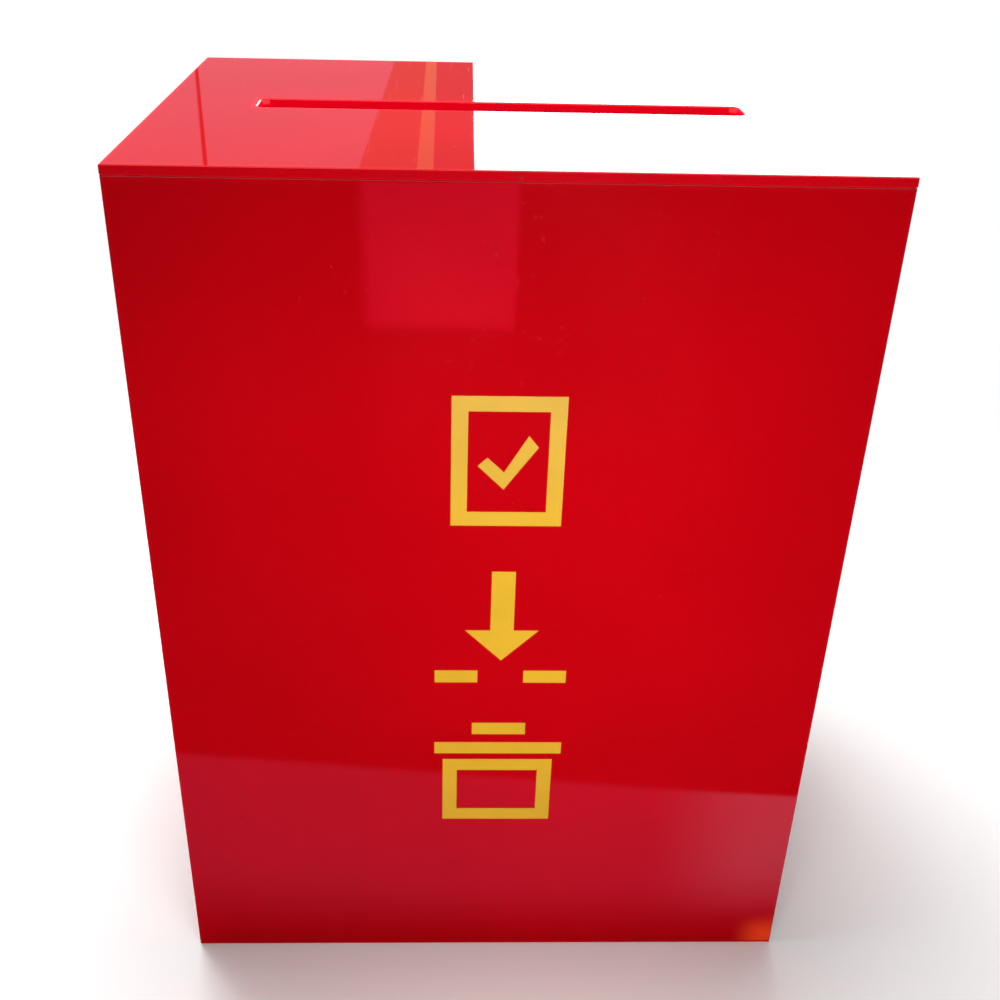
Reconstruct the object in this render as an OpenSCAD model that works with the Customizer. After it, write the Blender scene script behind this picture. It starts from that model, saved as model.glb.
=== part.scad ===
// Ballot box of glued acrylic sheet, with a slot in the top and a lockable door in the back wall.
// The front faces -Y and the origin is the centre of the base, on the surface that the box stands on.

/* [Box] */
// Width of the front and back walls
box_w = 300; // [240:5:400]
// Depth of the box, from the front wall's face to the back wall's face
box_d = 228; // [150:2:320]
// Height of the four walls, under the top panel
wall_h = 400; // [320:5:500]
// Thickness of the acrylic sheet
sheet_t = 4; // [3:0.5:5]
// Bevel that polishing leaves on the outer edges
arris = 0.4; // [0.2:0.1:0.8]

/* [Ballot slot] */
// Length of the slot
slot_l = 215; // [100:1:220]
// Width of the slot
slot_w = 19; // [8:0.5:30]
// Radius of the slot's corners
slot_r = 3.5; // [1:0.5:4]

/* [Door] */
// Width of the opening in the back wall
opening_w = 200; // [150:1:205]
// Height of the opening
opening_h = 240; // [160:1:260]
// Height of the opening's sill above the base
sill_h = 40; // [30:1:50]
// Radius of the opening's corners
opening_r = 3; // [1:0.5:6]
// Gap between the door and the opening's edge
door_gap = 1; // [0.8:0.1:2]
// Play between the closed door and the stop strips behind it
door_play = 0.3; // [0.3:0.05:0.6]
// Width of a stop strip glued to the wall beside the opening
stop_seat = 12; // [8:0.5:14]
// How far a stop strip reaches past the opening's edge, behind the door
stop_lap = 5; // [3:0.5:6]

/* [Hinges] */
// Length of a hinge
hinge_l = 40; // [30:1:60]
// Distance of a hinge's middle from the door's end
hinge_inset = 38; // [30:1:50]
// Width of a hinge leaf, from the pin's axis to its free edge
leaf_w = 15; // [12:0.5:20]
// Thickness of a hinge leaf
leaf_t = 1.2; // [1:0.1:1.2]
// Radius of a leaf's free corners
leaf_r = 2; // [0.5:0.5:3]
// Radius of a knuckle
knuckle_r = 2.5; // [2.2:0.1:3]
// Radius of the hinge pin
pin_r = 1.25; // [1:0.05:1.5]
// Number of knuckles on a hinge
knuckles = 5; // [3:2:7]
// Distance of a hinge screw from the hinge's middle
hinge_screw_z = 12; // [8:0.5:14]
// Distance of a hinge screw from the pin's axis
hinge_screw_x = 9; // [8:0.5:10]

/* [Hinge screws] */
// Radius of a screw's shank
screw_r = 1.5; // [1:0.25:1.5]
// Radius of a screw's countersunk head
screw_head_r = 2.75; // [2:0.05:2.75]
// Length of a screw with its head
screw_l = 8; // [7:0.5:12]
// Width of a nut across its flats
nut_af = 5.5; // [5:0.1:6]
// Thickness of a nut
nut_t = 2.4; // [1.6:0.1:3]

/* [Lock] */
// Distance of the lock's axis from the door's free edge
lock_edge = 19; // [17:0.5:24]
// Radius of the lock's head
lock_head_r = 11; // [10.5:0.25:12]
// Thickness of the lock's head
lock_head_t = 3; // [2.5:0.25:4]
// Radius of the lock's threaded body
barrel_r = 9; // [8:0.25:9.5]
// Width of the body across its two flats
barrel_af = 15.8; // [14:0.1:16]
// Length of the body under the head
barrel_l = 12.7; // [11.5:0.1:16]
// Radius of the turning plug
plug_r = 6; // [5:0.1:6.5]
// Width of the lock nut across its flats
lock_nut_af = 22; // [20:0.5:23]
// Thickness of the lock nut
lock_nut_t = 4; // [3:0.25:5]
// Thickness of the washer under the lock nut
lock_washer_t = 0.8; // [0.5:0.1:1.2]
// Length of the cam from the lock's axis
cam_l = 30; // [26:0.5:32]
// Width of the cam's arm
cam_w = 14; // [10:0.5:16]
// Thickness of the cam
cam_t = 2; // [1.5:0.1:2.5]
// Width of the square on the plug's tail
tail_w = 7; // [6:0.1:8]
// Width of the keyway
keyway_w = 1.6; // [1.2:0.1:2]
// Height of the keyway
keyway_h = 8; // [7:0.1:9]
// Depth of the keyway
keyway_depth = 9; // [6:0.5:10]

/* [Clearances] */
// Gap between a shaft and the hole that it turns in
running_gap = 0.05; // [0.03:0.01:0.08]
// Gap between a fixed screw, pin or body and its hole
fixed_gap = 0.15; // [0.05:0.01:0.3]
// Gap between pieces that move past each other
moving_gap = 0.3; // [0.3:0.05:0.5]
// Gap between the cam's tip and the stop strip that it catches behind
cam_gap = 0.4; // [0.3:0.05:0.6]

/* [Hidden] */
$fn = 48;
eps = 0.01;

acrylic = [0.78, 0.02, 0.06];
steel = [0.72, 0.73, 0.75];
chrome = [0.82, 0.83, 0.85];
plated = [0.76, 0.70, 0.55];

// Faces of the walls
front_y = -box_d / 2;
back_y = box_d / 2;
back_inner_y = back_y - sheet_t;
inner_w = box_w - 2 * sheet_t;
side_d = box_d - 2 * sheet_t;

// The door, a little further out than the wall by its play
door_w = opening_w - 2 * door_gap;
door_h = opening_h - 2 * door_gap;
door_r = opening_r - door_gap / 2;
opening_z = sill_h + opening_h / 2;
door_out_y = back_y + door_play;
door_in_y = door_out_y - sheet_t;
stop_w = stop_seat + stop_lap;
stop_in_y = back_inner_y - sheet_t;

// The hinges' axis stands off the wall far enough for the door's edge to turn past the knuckles
axis_rise = knuckle_r + door_play + moving_gap;
hinge_x = opening_w / 2 - door_gap / 2;
hinge_y = back_y + axis_rise;
hinge_z = [opening_z - door_h / 2 + hinge_inset, opening_z + door_h / 2 - hinge_inset];
knuckle_l = (hinge_l - (knuckles - 1) * moving_gap) / knuckles;
knuckle_pitch = knuckle_l + moving_gap;
plate_start = knuckle_r * 0.4;
notch_start = knuckle_r + moving_gap;
pin_head_r = knuckle_r - 0.4;
pin_head_t = 0.8;
screw_hole_r = screw_r + fixed_gap;
csk_r = screw_hole_r + leaf_t;
recess_w = screw_head_r * 0.22;
recess_l = screw_head_r * 1.2;
recess_depth = 0.9;

// The lock, measured along its axis from the door's outer face
lock_x = -door_w / 2 + lock_edge;
lock_z = opening_z;
plug_head_r = plug_r + 1.5;
plug_head_t = 1.6;
plug_sink = 0.3;
tail_l = cam_t;
barrel_end = -barrel_l;
shoulder = barrel_end - moving_gap;
cam_rise = stop_in_y - cam_gap - (door_out_y + shoulder);
cam_hub_r = cam_w * 0.62;
cam_bend_r = lock_nut_af / 2 / cos(30) + 0.8;
cam_screw_r = 2;
cam_screw_head_r = 5.5;
cam_screw_head_t = 2.2;
cam_screw_l = 6.5;

// A rectangle with true round corners, centred
module round_rect(w, h, r) {
    square([w - 2 * r, h], center = true);
    square([w, h - 2 * r], center = true);
    for (x = [-1, 1], y = [-1, 1])
        translate([x * (w / 2 - r), y * (h / 2 - r)]) circle(r);
}

// Cross-section of a sheet: width along X, thickness up from Y = 0, with its upper edges bevelled,
// and its lower edges too if asked
module sheet_section(w, lower = false) {
    low = lower ? arris : 0;
    polygon([
        [-w / 2 + low, 0], [w / 2 - low, 0], [w / 2, low], [w / 2, sheet_t - arris],
        [w / 2 - arris, sheet_t], [-w / 2 + arris, sheet_t], [-w / 2, sheet_t - arris], [-w / 2, low]
    ]);
}

// A sheet lying on Z = 0 with its outer edges bevelled, centred in X and Y
module bevelled_sheet(w, h, lower = false) {
    intersection() {
        rotate([90, 0, 0]) linear_extrude(h, center = true) sheet_section(w, lower);
        rotate([90, 0, 90]) linear_extrude(w, center = true) sheet_section(h, lower);
    }
}

// Turns a sheet so that its outer face looks along -Y or +Y and its length stands along Z
module facing_front() rotate([90, 0, 0]) children();
module facing_back() rotate([90, 0, 180]) children();

// Places things that are drawn with their axis along Z and their outer end up, on a face that looks along +Y
module on_back(x, y, z) translate([x, y, z]) rotate([-90, 0, 0]) children();

module top_panel() color(acrylic) {
    translate([0, 0, wall_h]) difference() {
        bevelled_sheet(box_w, box_d, lower = true);
        translate([0, 0, -1]) linear_extrude(sheet_t + 2) round_rect(slot_l, slot_w, slot_r);
    }
}

module front_panel() color(acrylic)
    translate([0, front_y + sheet_t, wall_h / 2]) facing_front() bevelled_sheet(box_w, wall_h);

// One side wall, which stands between the front and back walls
module side_wall() translate([inner_w / 2, 0, wall_h / 2]) rotate([90, 0, 90])
    bevelled_sheet(side_d, wall_h);

module left_panel() color(acrylic) mirror([1, 0, 0]) side_wall();
module right_panel() color(acrylic) side_wall();

module back_panel() color(acrylic) difference() {
    translate([0, back_inner_y, wall_h / 2]) facing_back() bevelled_sheet(box_w, wall_h);
    translate([0, back_y, opening_z]) rotate([90, 0, 0])
        linear_extrude(4 * sheet_t, center = true) round_rect(opening_w, opening_h, opening_r);
    for (z = hinge_z, s = [-1, 1])
        on_back(hinge_x + hinge_screw_x, back_inner_y - 1, z + s * hinge_screw_z)
            cylinder(h = sheet_t + 2, r = screw_hole_r);
}

module bottom_panel() color(acrylic)
    translate([-inner_w / 2, -side_d / 2, 0]) cube([inner_w, side_d, sheet_t]);

module door_stop_latch() color(acrylic)
    translate([-opening_w / 2 - stop_seat, stop_in_y, sill_h - stop_seat])
        cube([stop_w, sheet_t, opening_h + 2 * stop_seat]);

// A level stop strip, from the latch strip to just short of the hinge side
module level_stop(z) translate([-opening_w / 2 + stop_lap, stop_in_y, z])
    cube([opening_w - 2 * stop_lap, sheet_t, stop_w]);

module door_stop_upper() color(acrylic) level_stop(sill_h + opening_h - stop_lap);
module door_stop_lower() color(acrylic) level_stop(sill_h - stop_seat);

module back_door() color(acrylic) difference() {
    translate([0, door_out_y, opening_z]) rotate([90, 0, 0])
        linear_extrude(sheet_t) round_rect(door_w, door_h, door_r);
    for (z = hinge_z, s = [-1, 1])
        on_back(hinge_x - hinge_screw_x, door_in_y - 1, z + s * hinge_screw_z)
            cylinder(h = sheet_t + 2, r = screw_hole_r);
    on_back(lock_x, door_in_y - 1, lock_z) linear_extrude(sheet_t + 2) intersection() {
        circle(barrel_r + fixed_gap);
        square([barrel_af + 2 * fixed_gap, 4 * barrel_r], center = true);
    }
}

// A hinge leaf about its pin's axis along Z, with its plate towards +X and its underside at -rise.
// It has the even or the odd knuckles, and is cut back round the others.
module hinge_leaf(rise, odd) {
    difference() {
        union() {
            intersection() {
                translate([plate_start, -rise, -hinge_l / 2]) cube([leaf_w - plate_start, leaf_t, hinge_l]);
                rotate([90, 0, 0]) linear_extrude(4 * rise, center = true)
                    round_rect(2 * leaf_w, hinge_l, leaf_r);
            }
            for (i = [odd:2:knuckles - 1])
                translate([0, 0, -hinge_l / 2 + i * knuckle_pitch]) cylinder(h = knuckle_l, r = knuckle_r);
        }
        for (i = [1 - odd:2:knuckles - 1])
            translate([-notch_start, -rise - 1, -hinge_l / 2 + i * knuckle_pitch - moving_gap])
                cube([2 * notch_start, 2 * rise + 2, knuckle_l + 2 * moving_gap]);
        cylinder(h = hinge_l + 2, r = pin_r + running_gap, center = true);
        for (s = [-1, 1])
            translate([hinge_screw_x, -rise, s * hinge_screw_z]) rotate([-90, 0, 0])
                cylinder(h = leaf_t + eps, r1 = screw_hole_r, r2 = csk_r + eps);
    }
}

module frame_leaf(z) translate([hinge_x, hinge_y, z]) hinge_leaf(axis_rise, 0);
module door_leaf(z) translate([hinge_x, hinge_y, z]) mirror([1, 0, 0])
    hinge_leaf(axis_rise - door_play, 1);

module hinge_pin(z) translate([hinge_x, hinge_y, z]) {
    cylinder(h = hinge_l + eps, r = pin_r, center = true);
    for (s = [0, 1]) mirror([0, 0, s]) translate([0, 0, hinge_l / 2])
        rotate_extrude() polygon([
            [0, 0], [pin_head_r, 0], [pin_head_r, pin_head_t / 2], [pin_head_r * 0.7, pin_head_t],
            [0, pin_head_t]
        ]);
}

module hinge_upper_frame_leaf() color(steel) frame_leaf(hinge_z[1]);
module hinge_upper_door_leaf() color(steel) door_leaf(hinge_z[1]);
module hinge_upper_pin() color(steel) hinge_pin(hinge_z[1]);
module hinge_lower_frame_leaf() color(steel) frame_leaf(hinge_z[0]);
module hinge_lower_door_leaf() color(steel) door_leaf(hinge_z[0]);
module hinge_lower_pin() color(steel) hinge_pin(hinge_z[0]);

// A countersunk screw with its head's face at Z = 0 and its shank down
module csk_screw() difference() {
    rotate_extrude() polygon([
        [0, 0], [screw_head_r, 0], [screw_r, -(screw_head_r - screw_r)],
        [screw_r, -screw_l + 0.4], [screw_r - 0.4, -screw_l], [0, -screw_l]
    ]);
    for (a = [0, 90]) rotate([0, 0, a]) translate([-recess_l / 2, -recess_w / 2, -recess_depth])
        cube([recess_l, recess_w, recess_depth + 1]);
}

// A hexagon nut on Z = 0, rising, with its corners turned off at the top
module hex_nut(af, thick, hole_r) difference() {
    intersection() {
        cylinder(h = thick, r = af / 2 / cos(30), $fn = 6);
        cylinder(h = thick + af / 2, r1 = af / 2 + thick, r2 = 0);
    }
    translate([0, 0, -1]) cylinder(h = thick + 2, r = hole_r);
}

// The screws or nuts of both hinges on one side: their X, and the Y of the face that they bear on
module hinge_screws(x, y) for (z = hinge_z, s = [-1, 1])
    on_back(x, y, z + s * hinge_screw_z) csk_screw();
module hinge_nuts(x, y) for (z = hinge_z, s = [-1, 1])
    translate([x, y, z + s * hinge_screw_z]) rotate([90, 0, 0])
        hex_nut(nut_af, nut_t, screw_r + running_gap);

module hinge_frame_screws() color(chrome) hinge_screws(hinge_x + hinge_screw_x, back_y + leaf_t);
module hinge_frame_nuts() color(chrome) hinge_nuts(hinge_x + hinge_screw_x, back_inner_y);
module hinge_door_screws() color(chrome) hinge_screws(hinge_x - hinge_screw_x, door_out_y + leaf_t);
module hinge_door_nuts() color(chrome) hinge_nuts(hinge_x - hinge_screw_x, door_in_y);

// Things of the lock are drawn with the door's outer face at Z = 0 and the head up
module at_lock() on_back(lock_x, door_out_y, lock_z) children();

module lock_body() color(chrome) at_lock() difference() {
    union() {
        rotate_extrude($fn = 96) polygon([
            [0, 0], [lock_head_r, 0], [lock_head_r, lock_head_t * 0.35], [lock_head_r - 0.5, lock_head_t * 0.6],
            [lock_head_r - 2, lock_head_t], [0, lock_head_t]
        ]);
        intersection() {
            translate([0, 0, barrel_end]) cylinder(h = barrel_l + eps, r = barrel_r);
            translate([-barrel_af / 2, -barrel_r, barrel_end]) cube([barrel_af, 2 * barrel_r, barrel_l + 1]);
        }
    }
    translate([0, 0, barrel_end - 1]) cylinder(h = barrel_l + lock_head_t + 2, r = plug_r + running_gap);
    translate([0, 0, lock_head_t - plug_sink - plug_head_t])
        cylinder(h = plug_head_t + plug_sink + 1, r = plug_head_r + running_gap);
}

module lock_washer() color(steel) at_lock() translate([0, 0, -sheet_t - lock_washer_t]) difference() {
    cylinder(h = lock_washer_t, r = lock_nut_af / 2 + 1);
    translate([0, 0, -1]) cylinder(h = lock_washer_t + 2, r = barrel_r + fixed_gap);
}

module lock_nut() color(chrome) at_lock() translate([0, 0, -sheet_t - lock_washer_t]) mirror([0, 0, 1])
    hex_nut(lock_nut_af, lock_nut_t, barrel_r + running_gap);

module lock_plug() color(plated) at_lock() difference() {
    union() {
        translate([0, 0, shoulder]) cylinder(h = lock_head_t - plug_sink - shoulder, r = plug_r);
        translate([0, 0, lock_head_t - plug_sink - plug_head_t + running_gap])
            cylinder(h = plug_head_t - running_gap, r = plug_head_r);
        translate([-tail_w / 2, -tail_w / 2, shoulder - tail_l]) cube([tail_w, tail_w, tail_l + eps]);
    }
    translate([-keyway_w / 2, -keyway_h / 2, lock_head_t - plug_sink - keyway_depth])
        cube([keyway_w, keyway_h, keyway_depth + 1]);
    translate([0, 0, shoulder - tail_l - 1]) cylinder(h = cam_screw_l + 1.5, r = cam_screw_r + running_gap);
}

// The cam points down in the unlocked rest position
module lock_cam() color(steel) at_lock() rotate([0, 0, 90]) difference() {
    union() {
        translate([0, 0, shoulder - cam_t]) cylinder(h = cam_t, r = cam_hub_r);
        rotate([90, 0, 0]) linear_extrude(cam_w, center = true) polygon([
            [0, shoulder - cam_t], [cam_bend_r + cam_t / 2, shoulder - cam_t],
            [cam_bend_r + cam_t / 2 + cam_rise, shoulder - cam_t + cam_rise],
            [cam_l, shoulder - cam_t + cam_rise], [cam_l, shoulder + cam_rise],
            [cam_bend_r + cam_rise, shoulder + cam_rise], [cam_bend_r, shoulder], [0, shoulder]
        ]);
    }
    translate([0, 0, shoulder - cam_t / 2]) cube(
        [tail_w + 2 * running_gap, tail_w + 2 * running_gap, cam_t + 2], center = true);
}

module lock_cam_screw() color(chrome) at_lock() translate([0, 0, shoulder - tail_l]) {
    cylinder(h = cam_screw_l, r = cam_screw_r);
    mirror([0, 0, 1]) rotate_extrude() polygon([
        [0, 0], [cam_screw_head_r, 0], [cam_screw_head_r, 0.7], [cam_screw_head_r * 0.75, cam_screw_head_t * 0.85],
        [cam_screw_head_r * 0.4, cam_screw_head_t], [0, cam_screw_head_t]
    ]);
}

top_panel();
front_panel();
left_panel();
right_panel();
back_panel();
bottom_panel();
door_stop_latch();
door_stop_upper();
door_stop_lower();
back_door();
hinge_upper_frame_leaf();
hinge_upper_door_leaf();
hinge_upper_pin();
hinge_lower_frame_leaf();
hinge_lower_door_leaf();
hinge_lower_pin();
hinge_frame_screws();
hinge_frame_nuts();
hinge_door_screws();
hinge_door_nuts();
lock_body();
lock_washer();
lock_nut();
lock_plug();
lock_cam();
lock_cam_screw();
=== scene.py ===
"""Looks of a red acrylic ballot box: finishes, vinyl marks on its front, studio and camera."""
import math

import bmesh
import bpy
from mathutils import Matrix, Vector


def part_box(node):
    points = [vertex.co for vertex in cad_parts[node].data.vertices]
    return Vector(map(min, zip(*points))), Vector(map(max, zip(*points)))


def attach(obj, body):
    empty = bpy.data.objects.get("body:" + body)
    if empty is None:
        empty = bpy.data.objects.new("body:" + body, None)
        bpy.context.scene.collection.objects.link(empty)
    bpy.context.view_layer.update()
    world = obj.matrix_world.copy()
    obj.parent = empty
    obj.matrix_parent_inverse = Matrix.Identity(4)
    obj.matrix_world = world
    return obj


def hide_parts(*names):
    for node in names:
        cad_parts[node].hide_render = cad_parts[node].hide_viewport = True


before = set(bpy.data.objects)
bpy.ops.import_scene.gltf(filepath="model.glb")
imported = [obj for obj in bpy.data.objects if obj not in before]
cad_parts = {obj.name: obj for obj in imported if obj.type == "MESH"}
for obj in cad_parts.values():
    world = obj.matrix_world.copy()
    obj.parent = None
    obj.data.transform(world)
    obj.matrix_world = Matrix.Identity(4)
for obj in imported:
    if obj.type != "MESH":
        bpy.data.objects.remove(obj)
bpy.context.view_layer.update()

# Places on the box, in metres, read from its parts
TOP_LOW, TOP_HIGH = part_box("top_panel")
TOP_Z = TOP_HIGH.z
FRONT_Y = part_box("front_panel")[0].y

# The ballot slot in the top panel, centred on it
SLOT_HALF = (0.1075, 0.0095)
SLOT_CENTRE = (0, 0, TOP_Z)

# The doorway in the back panel
OPENING_HALF = (0.100, 0.120)
OPENING_CENTRE = (0.0, 0.112, 0.160)

# Half of a thickness that no sheet has: holes go right through, and faces are no cut edges
THROUGH = 1

# The camera, fitted to the box's edges in the picture
CAMERA_PLACE = Vector((-0.0237, -0.5622, 0.5146))
CAMERA_TURN = (60.39, -1.26, -1.32)
CAMERA_LENS = 43.97
CAMERA_SENSOR = 36
CAMERA_SHIFT = (0.017, 0.0148)
CAMERA_NEAREST = 0.01

# Colours, linear
SHEET_RED = (0.58, 0.0006, 0.0052, 1)
SHEET_RED_DEEP = (0.51, 0.0004, 0.0042, 1)
# Painted light: the lit red of a cut edge, and the light that a hole's rim gives off
EDGE_GLOW_RED = (0.90, 0.003, 0.014, 1)
EDGE_LIGHT = (0.56, 0.0004, 0.008, 1)
DUST_GREY = (0.62, 0.58, 0.56, 1)
VINYL_YELLOW = (0.775, 0.440, 0.007, 1)
VINYL_YELLOW_DEEP = tuple(0.94 * c for c in VINYL_YELLOW[:3]) + (1,)
VINYL_CUT = (0.70, 0.22, 0.004, 1)
FLOOR_PALE = (0.93, 0.93, 0.93, 1)
WHITE = (1, 1, 1, 1)
BLACK = (0, 0, 0, 1)


# Helpers for shader nodes

def node(tree, kind, inputs=None, **settings):
    """A new node with its settings, and its inputs as values or as sockets to link from."""
    made = tree.nodes.new(kind)
    for key, value in settings.items():
        setattr(made, key, value)
    for key, value in (inputs or {}).items():
        if isinstance(value, bpy.types.NodeSocket):
            tree.links.new(value, made.inputs[key])
        else:
            made.inputs[key].default_value = value
    return made


def maths(tree, operation, a, b=0.0):
    return node(tree, "ShaderNodeMath", {0: a, 1: b}, operation=operation).outputs[0]


def scaled(tree, mask, amount):
    return maths(tree, "MULTIPLY", mask, amount)


def layered(tree, base, *layers):
    """base, plus each layer's mask times its amount."""
    total = base
    for mask, amount in layers:
        total = maths(tree, "ADD", scaled(tree, mask, amount), total)
    return total


def vector_maths(tree, operation, a, b=(0, 0, 0)):
    made = node(tree, "ShaderNodeVectorMath", {0: a, 1: b}, operation=operation)
    return made.outputs["Value" if operation == "LENGTH" else "Vector"]


def ramp(tree, value, start, end, low=0.0, high=1.0, kind="SMOOTHSTEP"):
    """value from start..end turned into low..high, held at both ends."""
    return node(
        tree, "ShaderNodeMapRange",
        {"Value": value, "From Min": start, "From Max": end, "To Min": low, "To Max": high},
        interpolation_type=kind,
    ).outputs["Result"]


def mix_colour(tree, share, a, b):
    return node(tree, "ShaderNodeMix", {0: share, 6: a, 7: b}, data_type="RGBA").outputs[2]


def noise(tree, place, scale, detail=2.0, roughness=0.5):
    return node(
        tree, "ShaderNodeTexNoise",
        {"Vector": place, "Scale": scale, "Detail": detail, "Roughness": roughness},
    ).outputs["Fac"]


def stretched(tree, place, scale, turn):
    return node(
        tree, "ShaderNodeMapping", {"Vector": place, "Scale": scale, "Rotation": turn},
    ).outputs["Vector"]


def bump(tree, height, strength, distance):
    return node(
        tree, "ShaderNodeBump", {"Height": height, "Strength": strength, "Distance": distance},
    ).outputs["Normal"]


def shader_group(name, inputs, outputs):
    """A node group with its named sockets, and its input and output nodes' sockets."""
    tree = bpy.data.node_groups.new(name, "ShaderNodeTree")
    for label, kind, value in inputs:
        socket = tree.interface.new_socket(label, in_out="INPUT", socket_type="NodeSocket" + kind)
        socket.default_value = value
    for label in outputs:
        tree.interface.new_socket(label, in_out="OUTPUT", socket_type="NodeSocketFloat")
    return tree, tree.nodes.new("NodeGroupInput").outputs, tree.nodes.new("NodeGroupOutput").inputs


def use_group(tree, group, inputs):
    return node(tree, "ShaderNodeGroup", inputs, node_tree=group).outputs


# Effects that several finishes share

def make_sheet_edge_group():
    """How near a point of a sheet is to the sheet's cut edge, and to the edge of a hole in it."""
    tree, given, result = shader_group(
        "sheet_edge",
        [
            ("Place", "Vector", (0, 0, 0)),
            ("Centre", "Vector", (0, 0, 0)),
            ("Half Size", "Vector", (1, 1, 1)),
            ("Hole Centre", "Vector", (0, 0, 0)),
            ("Hole Half Size", "Vector", (1, 1, 1)),
            ("Width", "Float", 0.004),
        ],
        ["Rim", "Hole Rim"],
    )

    def away_from(centre):
        return vector_maths(tree, "ABSOLUTE", vector_maths(tree, "SUBTRACT", given["Place"], centre))

    def fading(distance):
        return ramp(tree, distance, 0.0, given["Width"], 1.0, 0.0, "SMOOTHERSTEP")

    inside = vector_maths(tree, "SUBTRACT", given["Half Size"], away_from(given["Centre"]))
    parts = node(tree, "ShaderNodeSeparateXYZ", {0: inside}).outputs
    nearest = maths(tree, "MINIMUM", maths(tree, "MINIMUM", parts[0], parts[1]), parts[2])
    outside = vector_maths(
        tree, "SUBTRACT", away_from(given["Hole Centre"]), given["Hole Half Size"])
    beyond = vector_maths(tree, "LENGTH", vector_maths(tree, "MAXIMUM", outside, (0, 0, 0)))
    tree.links.new(fading(nearest), result["Rim"])
    tree.links.new(fading(beyond), result["Hole Rim"])
    return tree


SCRATCH_SCALE = (520, 22, 520)
SCRATCH_TURNS = ((0.3, 0.5, 0.4), (1.1, -0.4, 1.9))
SCRATCH_CUT = (0.705, 0.74)
SMUDGE_SCALE = 17.0
SMUDGE_CUT = (0.45, 0.75)
DUST_SCALE = 150.0
DUST_RADIUS = (0.012, 0.03)
DUST_CUT = (0.55, 0.6)


def make_handling_group():
    """Traces of use: hairline scratches, smudges of cleaning and a few specks of dust."""
    tree, given, result = shader_group(
        "handling",
        [("Place", "Vector", (0, 0, 0)), ("Amount", "Float", 1.0)],
        ["Scratches", "Smudges", "Dust"],
    )
    hairs = []
    for turn in SCRATCH_TURNS:
        place = stretched(tree, given["Place"], SCRATCH_SCALE, turn)
        hairs.append(ramp(tree, noise(tree, place, 1.0, 1.0), *SCRATCH_CUT))
    smudges = ramp(tree, noise(tree, given["Place"], SMUDGE_SCALE, 4.0, 0.6), *SMUDGE_CUT)
    cells = node(
        tree, "ShaderNodeTexVoronoi", {"Vector": given["Place"], "Scale": DUST_SCALE},
    ).outputs
    speck = ramp(tree, cells["Distance"], *DUST_RADIUS, 1.0, 0.0)
    some = node(tree, "ShaderNodeSeparateColor", {0: cells["Color"]}).outputs[0]
    masks = {
        "Scratches": maths(tree, "MAXIMUM", *hairs),
        "Smudges": smudges,
        "Dust": scaled(tree, speck, ramp(tree, some, *DUST_CUT)),
    }
    for label, mask in masks.items():
        tree.links.new(scaled(tree, mask, given["Amount"]), result[label])
    return tree


PLATING_CLOUD_SCALE = 260.0


def make_grain_group():
    """Fine grain of rolled and brushed metal, longest where Stretch is smallest, and clouds."""
    tree, given, result = shader_group(
        "metal_grain",
        [("Place", "Vector", (0, 0, 0)), ("Stretch", "Vector", (1, 1, 1))],
        ["Grain", "Clouds"],
    )
    place = vector_maths(tree, "MULTIPLY", given["Place"], given["Stretch"])
    clouds = noise(tree, given["Place"], PLATING_CLOUD_SCALE, 3.0, 0.6)
    tree.links.new(noise(tree, place, 1.0, 3.0, 0.7), result["Grain"])
    tree.links.new(clouds, result["Clouds"])
    return tree


SHEET_EDGE = make_sheet_edge_group()
HANDLING = make_handling_group()
METAL_GRAIN = make_grain_group()


# Finishes

def new_finish(name):
    """A material with its Principled shader and its object coordinates."""
    material = bpy.data.materials.new(name)
    material.use_nodes = True
    tree = material.node_tree
    shader = tree.nodes["Principled BSDF"]
    place = tree.nodes.new("ShaderNodeTexCoord").outputs["Object"]
    return material, tree, shader, place


def dress(tree, shader, sockets):
    """Links what varies over the surface to the shader's sockets."""
    for key, value in sockets.items():
        tree.links.new(value, shader.inputs[key])


# Between these two values of its noise, a finish's clouds turn from one tone into the other
CLOUD_CUT = (0.3, 0.7)
FILM_CLOUD_CUT = (0.35, 0.7)

# Cast acrylic: painted light at its cut edges and at the rims of its holes, its polish, and the slow
# waves of its surface
ACRYLIC_IOR = 1.49
RIM_WIDTH = 0.0034
# How much painted light lightens the sheets near their cut edges and at the rims of their holes
RIM_GLOW_SHARE = 0.12
TOP_RIM_GLOW_SHARE = 0.4
BACK_HOLE_GLOW_SHARE = 0.3
ACRYLIC_HANDLING = 0.6
ACRYLIC_CLOUD_SCALE = 6.0
POLISH_ROUGHNESS = 0.022
SMUDGE_ROUGHNESS = 0.035
SCRATCH_ROUGHNESS = 0.16
DUST_ROUGHNESS = 0.5
DUST_SHARE = 0.5
WAVE_SCALE = 9.0
WAVE_HEIGHT = 0.00012
WAVE_STRENGTH = 0.25
SCRATCH_DEPTH = 0.04


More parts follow.
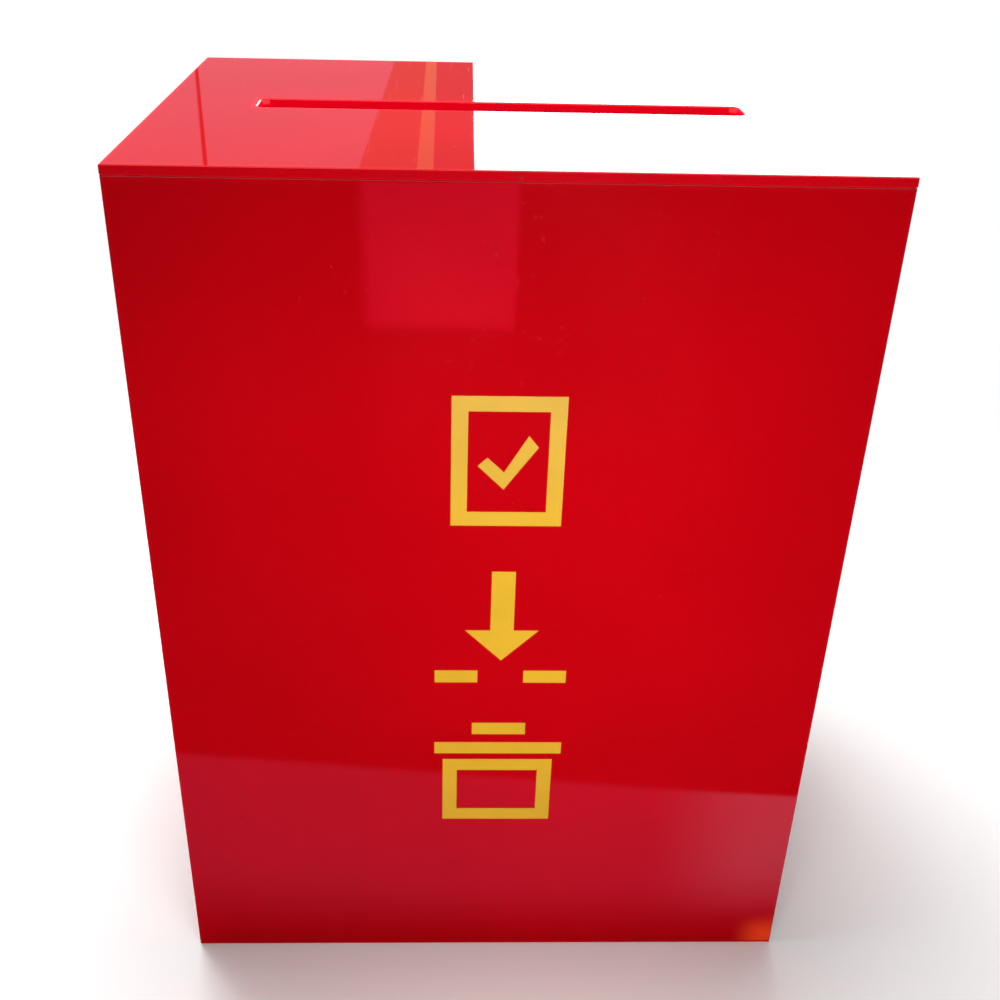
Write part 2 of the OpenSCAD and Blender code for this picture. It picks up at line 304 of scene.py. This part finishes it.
def acrylic_sheet(
        name, part, thin_axis, hole_centre=None, hole_half=None, hole_glow_share=1.0, rim_glow_share=RIM_GLOW_SHARE):
    """Polished cast acrylic: red, with painted light: a little lighter near its cut edges, and lighter
    and glowing at the rim of a hole, for the light that leaves the sheet there.
    """
    low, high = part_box(part)
    half = (high - low) / 2
    half[thin_axis] = THROUGH
    material, tree, shader, place = new_finish(name)
    sizes = {"Place": place, "Centre": (low + high) / 2, "Half Size": half, "Width": RIM_WIDTH}
    if hole_centre:
        sizes.update({"Hole Centre": hole_centre, "Hole Half Size": hole_half})
    near = use_group(tree, SHEET_EDGE, sizes)
    traces = use_group(tree, HANDLING, {"Place": place, "Amount": ACRYLIC_HANDLING})

    clouds = ramp(tree, noise(tree, place, ACRYLIC_CLOUD_SCALE), *CLOUD_CUT)
    body = mix_colour(tree, clouds, SHEET_RED_DEEP, SHEET_RED)
    # Painted light: the colour is lighter near the sheet's cut edges, as if light left the acrylic
    # there
    body = mix_colour(tree, scaled(tree, near["Rim"], rim_glow_share), body, EDGE_GLOW_RED)
    if hole_centre:
        # Painted light: around the hole the colour is lighter and the sheet glows, though no lamp is
        # there
        glow = scaled(tree, near["Hole Rim"], hole_glow_share)
        body = mix_colour(tree, glow, body, EDGE_GLOW_RED)
        dress(tree, shader, {"Emission Color": mix_colour(tree, glow, BLACK, EDGE_LIGHT)})
        shader.inputs["Emission Strength"].default_value = 1.0
    body = mix_colour(tree, scaled(tree, traces["Dust"], DUST_SHARE), body, DUST_GREY)

    rough = layered(
        tree, POLISH_ROUGHNESS, (traces["Smudges"], SMUDGE_ROUGHNESS),
        (traces["Scratches"], SCRATCH_ROUGHNESS), (traces["Dust"], DUST_ROUGHNESS))
    waves = noise(tree, place, WAVE_SCALE, 1.0)
    height = maths(tree, "SUBTRACT", waves, scaled(tree, traces["Scratches"], SCRATCH_DEPTH))
    normal = bump(tree, height, WAVE_STRENGTH, WAVE_HEIGHT)
    dress(tree, shader, {"Base Color": body, "Roughness": rough, "Normal": normal})
    shader.inputs["IOR"].default_value = ACRYLIC_IOR
    return material


# The metals of the hinges and the lock. Stretch is small along the grain.
METALS = {
    "satin_steel": {
        "bright": (0.62, 0.62, 0.63, 1), "dull": (0.50, 0.50, 0.51, 1), "roughness": 0.30,
        "stretch": (6000, 6000, 240),
    },
    "pin_steel": {
        "bright": (0.64, 0.64, 0.65, 1), "dull": (0.54, 0.54, 0.55, 1), "roughness": 0.26,
        "stretch": (4000, 4000, 600),
    },
    "bright_zinc": {
        "bright": (0.68, 0.69, 0.70, 1), "dull": (0.56, 0.55, 0.52, 1), "roughness": 0.28,
        "stretch": (900, 900, 900),
    },
    "lock_chrome": {
        "bright": (0.80, 0.80, 0.81, 1), "dull": (0.72, 0.72, 0.73, 1), "roughness": 0.12,
        "stretch": (500, 500, 500), "handling": 0.8, "grain_height": 0.000004,
    },
    "plug_nickel": {
        "bright": (0.74, 0.71, 0.64, 1), "dull": (0.64, 0.60, 0.52, 1), "roughness": 0.22,
        "stretch": (4000, 500, 500),
    },
}
METAL_PARTS = {
    "satin_steel": [
        f"hinge_{end}_{side}_leaf" for end in ("upper", "lower") for side in ("frame", "door")],
    "pin_steel": ["hinge_upper_pin", "hinge_lower_pin"],
    "bright_zinc": [
        "hinge_frame_screws", "hinge_frame_nuts", "hinge_door_screws", "hinge_door_nuts",
        "lock_washer", "lock_cam", "lock_cam_screw"],
    "lock_chrome": ["lock_body", "lock_nut"],
    "plug_nickel": ["lock_plug"],
}
GRAIN_SHARE = 0.25
GRAIN_ROUGHNESS = 0.16
GRAIN_STRENGTH = 0.35
METAL_SCRATCH_ROUGHNESS = 0.12


def metal(name, bright, dull, roughness, stretch, handling=1.0, grain_height=0.00002):
    """A metal finish with grain, clouded plating and small scratches."""
    material, tree, shader, place = new_finish(name)
    grain = use_group(tree, METAL_GRAIN, {"Place": place, "Stretch": stretch})
    traces = use_group(tree, HANDLING, {"Place": place, "Amount": handling})
    tone = mix_colour(tree, ramp(tree, grain["Clouds"], *CLOUD_CUT), dull, bright)
    tone = mix_colour(tree, scaled(tree, grain["Grain"], GRAIN_SHARE), tone, dull)
    rough = layered(
        tree, roughness - GRAIN_ROUGHNESS / 2, (grain["Grain"], GRAIN_ROUGHNESS),
        (traces["Scratches"], METAL_SCRATCH_ROUGHNESS))
    normal = bump(tree, grain["Grain"], GRAIN_STRENGTH, grain_height)
    dress(tree, shader, {"Base Color": tone, "Roughness": rough, "Normal": normal})
    shader.inputs["Metallic"].default_value = 1.0
    return material


# Vinyl film: its tone, its orange peel and its sheen
VINYL_HANDLING = 0.6
VINYL_CLOUD_SCALE = 40.0
VINYL_DUST_SHARE = 0.3
VINYL_ROUGHNESS = 0.34
VINYL_SMUDGE_ROUGHNESS = 0.10
PEEL_SCALE = 900.0
PEEL_HEIGHT = 0.00003
PEEL_STRENGTH = 0.3


def vinyl(name, colour, shade):
    """Cut vinyl film: even colour with a faint orange peel."""
    material, tree, shader, place = new_finish(name)
    traces = use_group(tree, HANDLING, {"Place": place, "Amount": VINYL_HANDLING})
    clouds = ramp(tree, noise(tree, place, VINYL_CLOUD_SCALE, 3.0), *FILM_CLOUD_CUT)
    tone = mix_colour(tree, clouds, colour, shade)
    tone = mix_colour(tree, scaled(tree, traces["Dust"], VINYL_DUST_SHARE), tone, DUST_GREY)
    rough = layered(tree, VINYL_ROUGHNESS, (traces["Smudges"], VINYL_SMUDGE_ROUGHNESS))
    normal = bump(tree, noise(tree, place, PEEL_SCALE), PEEL_STRENGTH, PEEL_HEIGHT)
    dress(tree, shader, {"Base Color": tone, "Roughness": rough, "Normal": normal})
    return material


def finish_nodes(material, *names):
    """Gives CAD nodes their finish."""
    for name in names:
        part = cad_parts[name]
        part.data.materials.clear()
        part.data.materials.append(material)


def new_object(name, bm, *materials):
    """An object at the origin with the bmesh as its mesh."""
    mesh = bpy.data.meshes.new(name)
    bm.to_mesh(mesh)
    bm.free()
    for material in materials:
        mesh.materials.append(material)
    made = bpy.data.objects.new(name, mesh)
    bpy.context.scene.collection.objects.link(made)
    return made


# How far the slot's edges are broken, and how its outline is found in the top panel, with
# angles in radians
SLOT_EASE = 0.0005
SLOT_REACH = 0.001
SHARP_EDGE = 1.0
SAME_PLACE = 0.000001
SAME_HEIGHT = 0.00001
FLAT_WITHIN = math.radians(0.5)


def ease_slot(finish):
    """The top panel with the slot's edges broken by hand, so that they catch the light."""
    bm = bmesh.new()
    bm.from_mesh(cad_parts["top_panel"].data)
    bmesh.ops.remove_doubles(bm, verts=bm.verts, dist=SAME_PLACE)
    bmesh.ops.dissolve_limit(bm, angle_limit=FLAT_WITHIN, verts=bm.verts, edges=bm.edges)

    def by_slot(vert):
        return all(abs(vert.co[i]) < SLOT_HALF[i] + SLOT_REACH for i in (0, 1))

    def along_sheet(edge):
        return abs(edge.verts[0].co.z - edge.verts[1].co.z) < SAME_HEIGHT

    rim = [
        edge for edge in bm.edges
        if all(by_slot(v) for v in edge.verts)
        and along_sheet(edge) and edge.calc_face_angle(0) > SHARP_EDGE
    ]
    bmesh.ops.bevel(
        bm, geom=rim, offset=SLOT_EASE, affect="EDGES", offset_type="OFFSET",
        segments=1, profile=0.5, material=-1)
    eased = new_object("top_panel_eased", bm, finish)
    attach(eased, "box")
    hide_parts("top_panel")


def finish_box():
    """Each sheet has its own finish, because its rim of painted light follows its own outline."""
    across, deep, up = 0, 1, 2
    top_finish = acrylic_sheet(
        "acrylic_top", "top_panel", up, SLOT_CENTRE, (*SLOT_HALF, THROUGH),
        rim_glow_share=TOP_RIM_GLOW_SHARE)
    finish_nodes(top_finish, "top_panel")
    ease_slot(top_finish)
    back_finish = acrylic_sheet(
        "acrylic_back", "back_panel", deep, OPENING_CENTRE,
        (OPENING_HALF[0], THROUGH, OPENING_HALF[1]), BACK_HOLE_GLOW_SHARE)
    finish_nodes(back_finish, "back_panel")
    plain_sheets = {
        "acrylic_front": ("front_panel", deep),
        "acrylic_left": ("left_panel", across),
        "acrylic_right": ("right_panel", across),
        "acrylic_bottom": ("bottom_panel", up),
        "acrylic_door": ("back_door", deep),
    }
    for end in ("latch", "upper", "lower"):
        plain_sheets["acrylic_door_stop_" + end] = ("door_stop_" + end, deep)
    for name, (part, thin_axis) in plain_sheets.items():
        finish_nodes(acrylic_sheet(name, part, thin_axis), part)


def finish_metal():
    for name, look in METALS.items():
        finish_nodes(metal(name, **look), *METAL_PARTS[name])


# Vinyl marks on the front: three plain pictograms, one above the other
MARK_SIZE = 0.060
MARK_HALF = MARK_SIZE / 2
MARK_STROKE = 0.0068
MARK_FILM = 0.0001
MARK_SUNK = 0.00001
MARK_X = 0.002
MARK_HEIGHTS = {"slip": 0.2845, "arrow": 0.2015, "box": 0.1180}


def flat_face(bm, corners):
    """A face in the XY plane through the corners, which run anticlockwise."""
    return bm.faces.new([bm.verts.new((x, y, 0)) for x, y in corners])


def flat_plate(bm, x0, y0, x1, y1):
    return flat_face(bm, [(x0, y0), (x1, y0), (x1, y1), (x0, y1)])


def flat_frame(bm, x0, y0, x1, y1):
    """A rectangular outline of even stroke."""
    face = flat_plate(bm, x0, y0, x1, y1)
    face.normal_update()
    bmesh.ops.inset_region(
        bm, faces=[face], thickness=MARK_STROKE, use_boundary=True, use_even_offset=True)
    bmesh.ops.delete(bm, geom=[face], context="FACES")


def draw_slip(bm):
    """A ballot slip with a tick on it."""
    half_w = 0.0235
    flat_frame(bm, -half_w, -MARK_HALF, half_w, MARK_HALF)
    low, left, right = (-0.0015, -0.0125), (-0.0125, -0.0015), (0.0125, 0.0105)
    leg = MARK_STROKE * 0.82
    tip_drop, tip_back, tip_rise = leg * 0.6, leg * 0.75, leg * 0.35
    crook_rise = leg * 1.45
    end_out, end_rise = leg * 0.72, leg * 0.70
    flat_face(bm, [
        low,
        (right[0], right[1] - tip_drop),
        (right[0] - tip_back, right[1] + tip_rise),
        (low[0], low[1] + crook_rise),
        (left[0] + end_out, left[1] + end_rise),
        left,
    ])


def draw_arrow(bm):
    """An arrow that points down into a slot."""
    shaft_half, head_half, neck, tip = 0.0052, 0.0165, -0.001, -0.0175
    slot_half = 0.0105
    flat_face(bm, [
        (0, tip), (head_half, neck), (shaft_half, neck), (shaft_half, MARK_HALF),
        (-shaft_half, MARK_HALF), (-shaft_half, neck), (-head_half, neck),
    ])
    for side in (-1, 1):
        x0, x1 = sorted((side * slot_half, side * MARK_HALF))
        flat_plate(bm, x0, -MARK_HALF, x1, -MARK_HALF + MARK_STROKE)


def draw_box(bm):
    """A box, the bar of its lid, and a short slip above them."""
    lid_low = MARK_HALF - 0.0185
    body_half = MARK_HALF - 0.004
    body_high = lid_low - 0.0035
    slip_half = 0.0125
    flat_frame(bm, -body_half, -MARK_HALF, body_half, body_high)
    flat_plate(bm, -MARK_HALF, lid_low, MARK_HALF, lid_low + MARK_STROKE)
    flat_plate(bm, -slip_half, MARK_HALF - MARK_STROKE, slip_half, MARK_HALF)


def make_mark(name, draw, height, film, cut):
    """One pictogram of vinyl film, stuck on the front panel."""
    bm = bmesh.new()
    draw(bm)
    raised = bmesh.ops.extrude_face_region(bm, geom=list(bm.faces), use_keep_orig=True)
    tops = [g for g in raised["geom"] if isinstance(g, bmesh.types.BMVert)]
    bmesh.ops.translate(bm, vec=(0, 0, MARK_FILM), verts=tops)
    bmesh.ops.recalc_face_normals(bm, faces=bm.faces)
    quarter_turn = Matrix.Rotation(math.pi / 2, 3, "X")
    bmesh.ops.rotate(bm, cent=(0, 0, 0), matrix=quarter_turn, verts=bm.verts)
    bmesh.ops.translate(bm, vec=(MARK_X, FRONT_Y + MARK_SUNK, height), verts=bm.verts)
    for face in bm.faces:
        face.material_index = 0 if abs(face.normal.y) > 0.5 else 1
    mark = new_object(name, bm, film, cut)
    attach(mark, "box")


def make_marks():
    film = vinyl("yellow_film", VINYL_YELLOW, VINYL_YELLOW_DEEP)
    cut = vinyl("film_edge", VINYL_CUT, VINYL_CUT)
    drawings = {"slip": draw_slip, "arrow": draw_arrow, "box": draw_box}
    for name, draw in drawings.items():
        make_mark("mark_" + name, draw, MARK_HEIGHTS[name], film, cut)


# Studio

def bare_material(name):
    """A material whose tree is still empty, for the studio's surfaces, and that tree."""
    material = bpy.data.materials.new(name)
    material.use_nodes = True
    material.node_tree.nodes.clear()
    return material, material.node_tree


def end_tree(tree, shader, kind="Material"):
    node(tree, "ShaderNodeOutput" + kind, {"Surface": shader})


def seen_or_mirrored(tree):
    """1 for rays of the camera, of reflections and through clear pieces, 0 for lighting."""
    light = tree.nodes.new("ShaderNodeLightPath").outputs
    seen = maths(tree, "MAXIMUM", light["Is Camera Ray"], light["Is Glossy Ray"])
    return maths(tree, "MAXIMUM", seen, light["Is Transmission Ray"])


NO_FADES = (0, 0, 0, 0)


def glowing_card(name, colour, strength, fades):
    """Plain light over a card, fading out towards its left, right, low and high side."""
    material, tree = bare_material(name)
    across = node(tree, "ShaderNodeUVMap").outputs[0]
    u, v, _ = node(tree, "ShaderNodeSeparateXYZ", {0: across}).outputs
    from_sides = (u, maths(tree, "SUBTRACT", 1.0, u), v, maths(tree, "SUBTRACT", 1.0, v))
    share = 1.0
    for from_side, fade in zip(from_sides, fades):
        if fade:
            share = scaled(tree, share, ramp(tree, from_side, 0.0, fade))
    clear = node(tree, "ShaderNodeBsdfTransparent").outputs[0]
    glow = node(tree, "ShaderNodeEmission", {"Color": colour, "Strength": strength}).outputs[0]
    end_tree(tree, node(tree, "ShaderNodeMixShader", {0: share, 1: clear, 2: glow}).outputs[0])
    return material


def make_card(name, corners, colour, strength, fades=NO_FADES):
    """A flat card that shows only in reflections. Its corners start low on its left."""
    bm = bmesh.new()
    face = bm.faces.new([bm.verts.new(c) for c in corners])
    across = bm.loops.layers.uv.new("across")
    for loop, uv in zip(face.loops, ((0, 0), (1, 0), (1, 1), (0, 1))):
        loop[across].uv = uv
    card = new_object(name, bm, glowing_card(name, colour, strength, fades))
    card.visible_camera = False
    card.visible_diffuse = False
    card.visible_shadow = False
    card.visible_transmission = False


# The upright cards behind the box, which the top panel mirrors, stand in one plane. A line
# between two of them is given by its x on the top panel's far edge and on its near edge.
BEHIND_Y = 1.3
BEHIND_LOW, BEHIND_HIGH = 0.55, 0.85
BEHIND_ENDS = 2.0
WALL_END = (-0.0520, -0.0560)
CURTAIN_END = (-0.0355, -0.0350)
BLIND_END = (-0.0300, -0.0290)
FRAME_END = (-0.0109, -0.0140)
CORNER_START = (-0.1569, -0.1121)
CORNER_END = (-0.1541, -0.1097)

# Each card's left and right line, or None where it goes on to the end of the plane
CARDS_BEHIND = {
    "window_card": {"between": (FRAME_END, None), "colour": WHITE, "strength": 5.0},
    "frame_card": {
        "between": (BLIND_END, FRAME_END), "colour": (1.0, 0.60, 0.60, 1), "strength": 0.24},
    "blind_card": {
        "between": (CURTAIN_END, BLIND_END), "colour": (1.0, 0.85, 0.5, 1), "strength": 0.42},
    "curtain_card": {
        "between": (WALL_END, CURTAIN_END), "colour": (1.0, 0.65, 0.55, 1), "strength": 0.26},
    "wall_card": {"between": (None, WALL_END), "colour": (1.0, 0.84, 1.0, 1), "strength": 0.34},
    "corner_card": {
        "between": (CORNER_START, CORNER_END), "colour": (1.0, 0.4, 0.4, 1), "strength": 0.10,
        "nearer": 0.01, "fades": (0.35, 0.35, 0, 0)},
}


def behind_in_top(x, y):
    """The point in the plane of the upright cards that the top panel mirrors at (x, y)."""
    on_top = Vector((x, y, TOP_Z))
    ray = on_top - CAMERA_PLACE
    ray.z = -ray.z
    return on_top + ray * ((BEHIND_Y - y) / ray.y)


def upright(x_far, x_near):
    """The low and the high x of a line between cards, from its x on the top panel's two edges."""
    low = behind_in_top(x_far, TOP_HIGH.y)
    high = behind_in_top(x_near, TOP_LOW.y)
    lean = (high.x - low.x) / (high.z - low.z)
    return low.x + lean * (BEHIND_LOW - low.z), high.x + lean * (BEHIND_HIGH - high.z)


def upright_card(name, between, colour, strength, nearer=0.0, fades=NO_FADES):
    """A card of the plane behind the box, or a little nearer than it."""
    left_line, right_line = between
    left = upright(*left_line) if left_line else (-BEHIND_ENDS, -BEHIND_ENDS)
    right = upright(*right_line) if right_line else (BEHIND_ENDS, BEHIND_ENDS)
    y = BEHIND_Y - nearer
    corners = [
        (left[0], y, BEHIND_LOW), (right[0], y, BEHIND_LOW),
        (right[1], y, BEHIND_HIGH), (left[1], y, BEHIND_HIGH)]
    make_card(name, corners, colour, strength, fades)


def make_cards_behind():
    """What the top panel mirrors: a bright card on the right, and dim tinted ones on the left."""
    for name, card in CARDS_BEHIND.items():
        upright_card(name, **card)


# The floor's cards: dark in front and dim behind, fading into the floor's own white far away
FLOOR_REACH = 3
FLOOR_LIFT = 0.0004
FLOOR_DARK = 0.010
FLOOR_DIM = 0.080

# Dark cards beside the front keep the patches on the floor out of the side panels' reflections
SHADE_BEFORE = 0.002
SHADE_NEAR, SHADE_FAR = 0.0015, 0.30
SHADE_HIGH = 0.12

# Patches on the floor, each given by where the front panel mirrors it: corners in x and z there
PATCHES = {
    "sill_card": {
        "corners": ((-0.059, 0.340), (0.004, 0.340), (0.004, 0.399), (-0.059, 0.399)),
        "lift": 0.0010, "colour": (1.0, 0.03, 0.10, 1), "strength": 2.4,
        "fades": (0.10, 0.05, 0.07, 0),
    },
    "table_card": {
        "corners": ((-0.150, 0.003), (0.150, 0.003), (0.151, 0.104), (-0.151, 0.132)),
        "lift": 0.0008, "colour": (0.55, 0.12, 0.28, 1), "strength": 1.0,
        "fades": (0, 0, 0.4, 0.06),
    },
    "paper_card": {
        "corners": ((0.075, 0.014), (0.150, 0.014), (0.151, 0.104), (0.075, 0.109)),
        "lift": 0.0012, "colour": (1.0, 0.55, 0.85, 1), "strength": 1.0,
        "fades": (0.8, 0, 0.5, 0.05),
    },
    "glow_card": {
        "corners": ((0.128, -0.004), (0.150, -0.004), (0.150, 0.022), (0.128, 0.022)),
        "lift": 0.0014, "colour": (1.0, 0.12, 0.02, 1), "strength": 5.0,
        "fades": (0.8, 0, 0, 0.6),
    },
}


def floor_in_front(x, z, lift):
    """The point just above the floor that the front panel mirrors at (x, z)."""
    on_front = Vector((x, FRONT_Y, z))
    ray = on_front - CAMERA_PLACE
    ray.y = -ray.y
    return on_front + ray * ((lift - z) / ray.z)


def floor_card(name, y0, y1, strength, fades):
    corners = [(x, y, FLOOR_LIFT) for x, y in (
        (-FLOOR_REACH, y0), (FLOOR_REACH, y0), (FLOOR_REACH, y1), (-FLOOR_REACH, y1))]
    make_card(name, corners, WHITE, strength, fades)


def make_cards_on_floor():
    """What the upright panels mirror: a dark floor with soft lighter patches in front."""
    floor_card("floor_card_front", -FLOOR_REACH, FRONT_Y, FLOOR_DARK, (0, 0, 0.4, 0))
    floor_card("floor_card_behind", FRONT_Y, FLOOR_REACH, FLOOR_DIM, (0, 0, 0, 0.95))
    y = FRONT_Y - SHADE_BEFORE
    for side, edge_x in (("left", TOP_LOW.x), ("right", TOP_HIGH.x)):
        x0, x1 = (edge_x + math.copysign(away, edge_x) for away in (SHADE_NEAR, SHADE_FAR))
        corners = [(x0, y, 0), (x1, y, 0), (x1, y, SHADE_HIGH), (x0, y, SHADE_HIGH)]
        make_card("shade_" + side, corners, WHITE, FLOOR_DARK)
    for name, patch in PATCHES.items():
        corners = [floor_in_front(x, z, patch["lift"]) for x, z in patch["corners"]]
        make_card(name, corners, patch["colour"], patch["strength"], patch["fades"])


FLOOR_RADIUS = 6.0
FLOOR_SIDES = 96
FLOOR_FADE = (0.22, 0.9)


def make_floor():
    """A pale floor that turns into the white background far from the box."""
    bm = bmesh.new()
    bmesh.ops.create_circle(bm, cap_ends=True, segments=FLOOR_SIDES, radius=FLOOR_RADIUS)
    material, tree = bare_material("pale_floor")
    away = vector_maths(tree, "LENGTH", node(tree, "ShaderNodeTexCoord").outputs["Object"])
    share = scaled(tree, seen_or_mirrored(tree), ramp(tree, away, *FLOOR_FADE))
    plain = node(tree, "ShaderNodeBsdfDiffuse", {"Color": FLOOR_PALE}).outputs[0]
    white = node(tree, "ShaderNodeEmission", {"Color": WHITE, "Strength": 1.0}).outputs[0]
    end_tree(tree, node(tree, "ShaderNodeMixShader", {0: share, 1: plain, 2: white}).outputs[0])
    floor = new_object("floor", bm, material)


WORLD_LEVEL = 0.10


def make_world():
    """White where it is seen, and a plain soft level on the object."""
    world = bpy.data.worlds.new("studio")
    world.use_nodes = True
    tree = world.node_tree
    tree.nodes.clear()
    strength = ramp(tree, seen_or_mirrored(tree), 0.0, 1.0, WORLD_LEVEL, 1.0, "LINEAR")
    sky = node(tree, "ShaderNodeBackground", {"Color": WHITE, "Strength": strength})
    end_tree(tree, sky.outputs[0], "World")
    bpy.context.scene.world = world


BOX_MIDDLE = (0, 0, 0.2)
LAMPS = {
    "key_box": {
        "place": (0.035, -0.37, 0.265), "target": (0.03, FRONT_Y, 0.255), "size": 0.20, "power": 0.65},
    "top_box": {"place": (-0.10, 0.25, 1.45), "target": BOX_MIDDLE, "size": 0.8, "power": 27},
    "back_box": {"place": (-0.9, 1.4, 1.0), "target": BOX_MIDDLE, "size": 0.9, "power": 12},
}


def make_lamp(name, place, target, size, power):
    """A soft box that looks at the target and doesn't show in reflections."""
    data = bpy.data.lights.new(name, "AREA")
    data.shape = "SQUARE"
    data.size = size
    data.energy = power
    lamp = bpy.data.objects.new(name, data)
    lamp.location = place
    lamp.rotation_euler = (Vector(target) - Vector(place)).to_track_quat("-Z", "Y").to_euler()
    lamp.visible_glossy = False
    lamp.visible_camera = False
    bpy.context.scene.collection.objects.link(lamp)


def make_camera():
    data = bpy.data.cameras.new("camera")
    data.sensor_width = CAMERA_SENSOR
    data.lens = CAMERA_LENS
    data.shift_x, data.shift_y = CAMERA_SHIFT
    data.clip_start = CAMERA_NEAREST
    camera = bpy.data.objects.new("camera", data)
    camera.location = CAMERA_PLACE
    camera.rotation_euler = [math.radians(a) for a in CAMERA_TURN]
    bpy.context.scene.collection.objects.link(camera)
    bpy.context.scene.camera = camera


def make_studio():
    bpy.context.scene.view_settings.view_transform = "Standard"
    make_camera()
    make_floor()
    make_cards_behind()
    make_cards_on_floor()
    make_world()
    for name, lamp in LAMPS.items():
        make_lamp(name, **lamp)


finish_box()
finish_metal()
make_marks()
make_studio()
